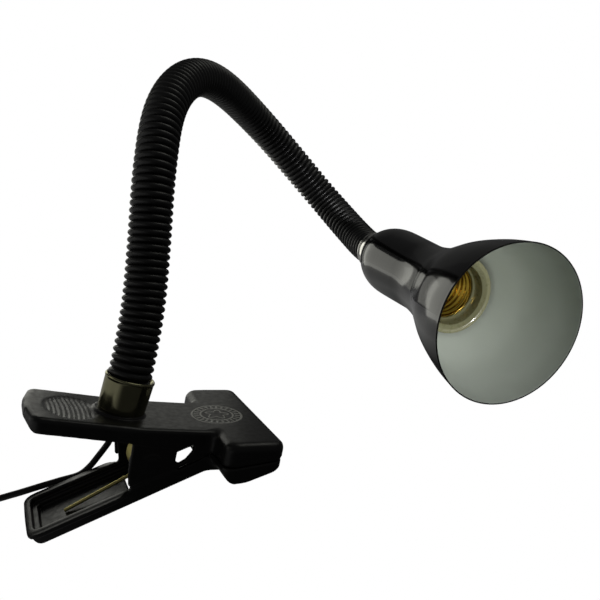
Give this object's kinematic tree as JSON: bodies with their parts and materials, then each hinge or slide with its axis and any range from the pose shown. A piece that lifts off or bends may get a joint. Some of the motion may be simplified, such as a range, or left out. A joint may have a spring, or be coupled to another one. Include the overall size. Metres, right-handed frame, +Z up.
{
  "type": "clip-on reading lamp",
  "caption": "Clip-on reading lamp: a sprung clamp with a wide nose, a ribbed black gooseneck and a long bell shade over a screw lampholder, with switched cord.",
  "frame": {"origin": "middle of the grip, on the parting plane between the two jaws' wide noses", "axes": "+X from the handles to the nose, +Z up, square to the flat top of the arm, +Y to the left seen from the handles"},
  "size_m": [0.2872, 0.2036, 0.224],
  "materials": {
    "black_plastic": "satin moulded",
    "gloss_black": "glossy enamel over metal",
    "pad_rubber": "matt",
    "spring_wire": "yellow zinc plated",
    "steel": "plain",
    "dark_chrome": "dark polished",
    "silver": "satin polished",
    "porcelain": "glazed",
    "brass": "drawn",
    "cord_black": "smooth PVC",
    "wire_brown": "PVC",
    "wire_blue": "PVC"
  },
  "bodies": {
    "clamp": {"upper_jaw": "black_plastic", "upper_grip_pad": "pad_rubber", "pivot_pin": "black_plastic", "pin_retainer": "steel", "torsion_spring": "spring_wire", "ferrule": "dark_chrome", "base_washer": "steel", "base_nut": "steel", "neck_base_nipple": "steel", "cord_outlet_bush": "black_plastic", "neck_sleeve_1": "black_plastic", "neck_core_1": "steel", "cord_lamp_run": "cord_black", "cord_switch_run": "cord_black", "cord_coil": "cord_black", "cord_tie": "cord_black", "switch_housing_upper": "black_plastic", "switch_housing_lower": "black_plastic", "switch_screw": "steel", "plug_body": "black_plastic", "plug_pin_1": "steel", "plug_pin_2": "steel", "cord_plug_run": "cord_black"},
    "jaw": {"lower_jaw": "black_plastic", "lower_grip_pad": "pad_rubber"},
    "rocker": {"switch_rocker": "gloss_black"},
    "neck_2": {"neck_sleeve_2": "black_plastic", "neck_core_2": "steel"},
    "neck_3": {"neck_sleeve_3": "black_plastic", "neck_core_3": "steel"},
    "neck_4": {"neck_sleeve_4": "black_plastic", "neck_core_4": "steel"},
    "neck_5": {"neck_sleeve_5": "black_plastic", "neck_core_5": "steel"},
    "head": {"neck_sleeve_6": "black_plastic", "neck_core_6": "steel", "end_ring": "silver", "shade": "gloss_black", "shade_lock_nut": "steel", "neck_end_nipple": "steel", "bracket_lock_nut": "steel", "holder_bracket": "steel", "bracket_screw_1": "steel", "bracket_screw_2": "steel", "lampholder_body": "porcelain", "terminal_screw_1": "brass", "terminal_screw_2": "brass", "thread_shell": "brass", "centre_contact": "brass", "live_lead": "wire_brown", "neutral_lead": "wire_blue"}
  },
  "joints": [
    {"name": "jaw_open", "type": "hinge", "parent": "clamp", "child": "jaw", "pos_m": [-0.0385, 0, -0.0085], "axis": [0, 1, 0], "range_deg": [0, 30], "stiffness_Nm_per_rad": 0.6, "springref_deg": -63.03, "deforming": ["torsion_spring"]},
    {"name": "neck_bend_1", "type": "hinge", "parent": "clamp", "child": "neck_2", "pos_m": [-0.0476, 0.01102, 0.07661], "axis": [0.6295, -0.7529, 0.1923], "range_deg": [-20, 25]},
    {"name": "neck_bend_2", "type": "hinge", "parent": "neck_2", "child": "neck_3", "pos_m": [-0.04815, 0.02583, 0.12823], "axis": [0.5028, 0.7434, -0.441], "range_deg": [-25, 15]},
    {"name": "neck_bend_3", "type": "hinge", "parent": "neck_3", "child": "neck_4", "pos_m": [-0.03361, 0.05674, 0.16045], "axis": [-0.6476, 0.6549, -0.3896], "range_deg": [-25, 20]},
    {"name": "neck_bend_4", "type": "hinge", "parent": "neck_4", "child": "neck_5", "pos_m": [0.00249, 0.09473, 0.16548], "axis": [0.1368, -0.4601, -0.8773], "range_deg": [-25, 25]},
    {"name": "neck_bend_5", "type": "hinge", "parent": "neck_5", "child": "head", "pos_m": [0.05443, 0.11455, 0.13833], "axis": [-0.5472, 0.3378, -0.7658], "range_deg": [-25, 25]},
    {"name": "rocker_tilt", "type": "hinge", "parent": "clamp", "child": "rocker", "pos_m": [-0.109, 0.065, -0.03735], "axis": [-1, 0, 0], "range_deg": [0, 16]}
  ]
}
